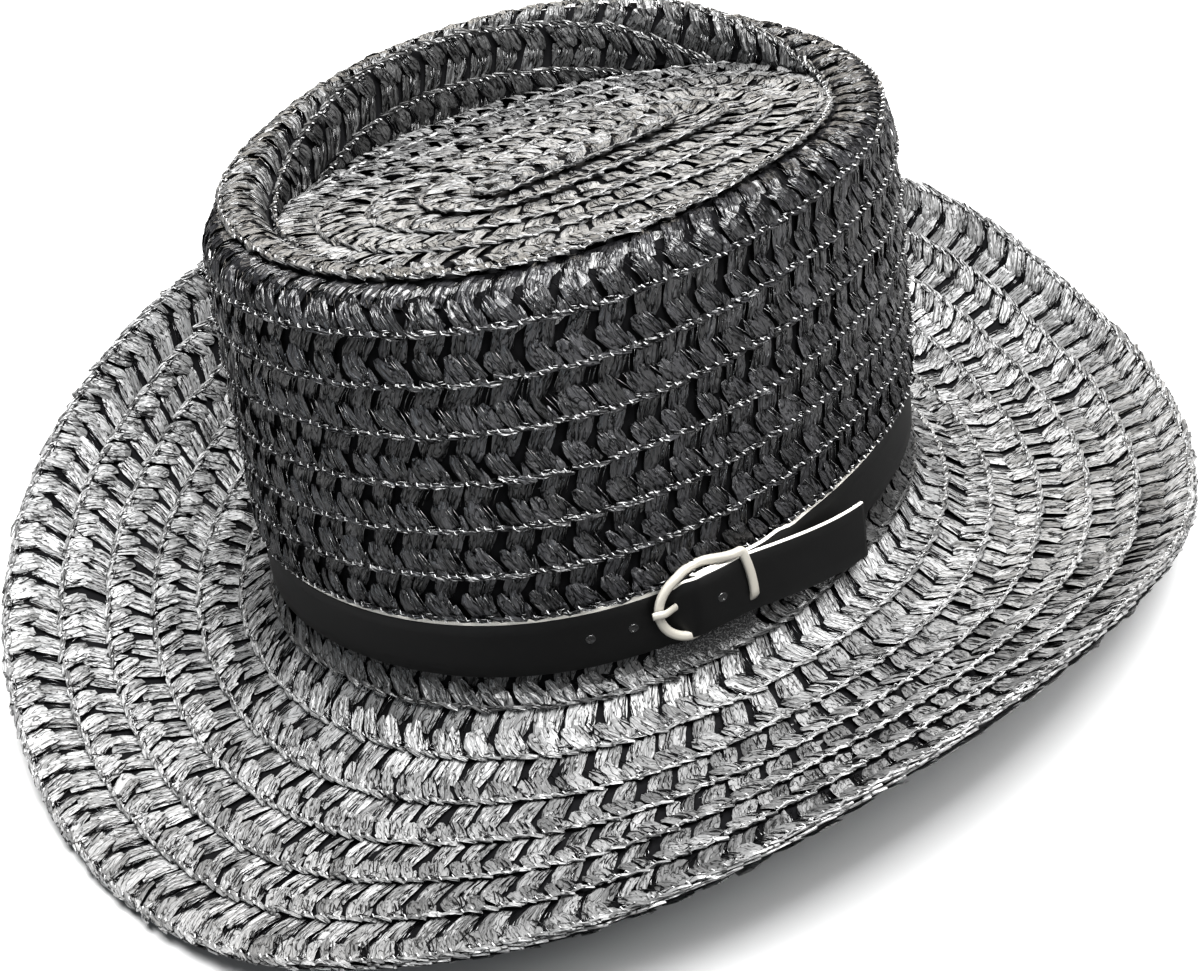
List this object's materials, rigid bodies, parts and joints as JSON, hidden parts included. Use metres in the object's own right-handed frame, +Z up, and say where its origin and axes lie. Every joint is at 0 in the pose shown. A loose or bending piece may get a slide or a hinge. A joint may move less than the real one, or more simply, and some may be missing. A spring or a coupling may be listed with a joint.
{
  "type": "sun hat",
  "caption": "Wide-brimmed sun hat of sewn paper braid with a telescope crown, a bent brim and a flat buckled belt round the foot of the crown.",
  "frame": {"origin": "middle of the bounding box, at the height where the brim rests on a flat surface", "axes": "+Z up, -Y to the front of the hat, +X to the wearer's left, where the buckle is"},
  "size_m": [0.3162, 0.3554, 0.1472],
  "materials": {
    "crown_straw": "black paper braid, satin",
    "brim_straw": "black paper braid, satin",
    "strap": "smooth coated imitation leather with a raw pale edge",
    "buckle": "satin, pale silver",
    "patch": "knitted, matt"
  },
  "bodies": {
    "root": {"crown": "crown_straw", "brim": "brim_straw", "hat_strap": "strap", "buckle_frame": "buckle", "buckle_prong": "buckle", "backing_patch": "patch"}
  },
  "joints": []
}
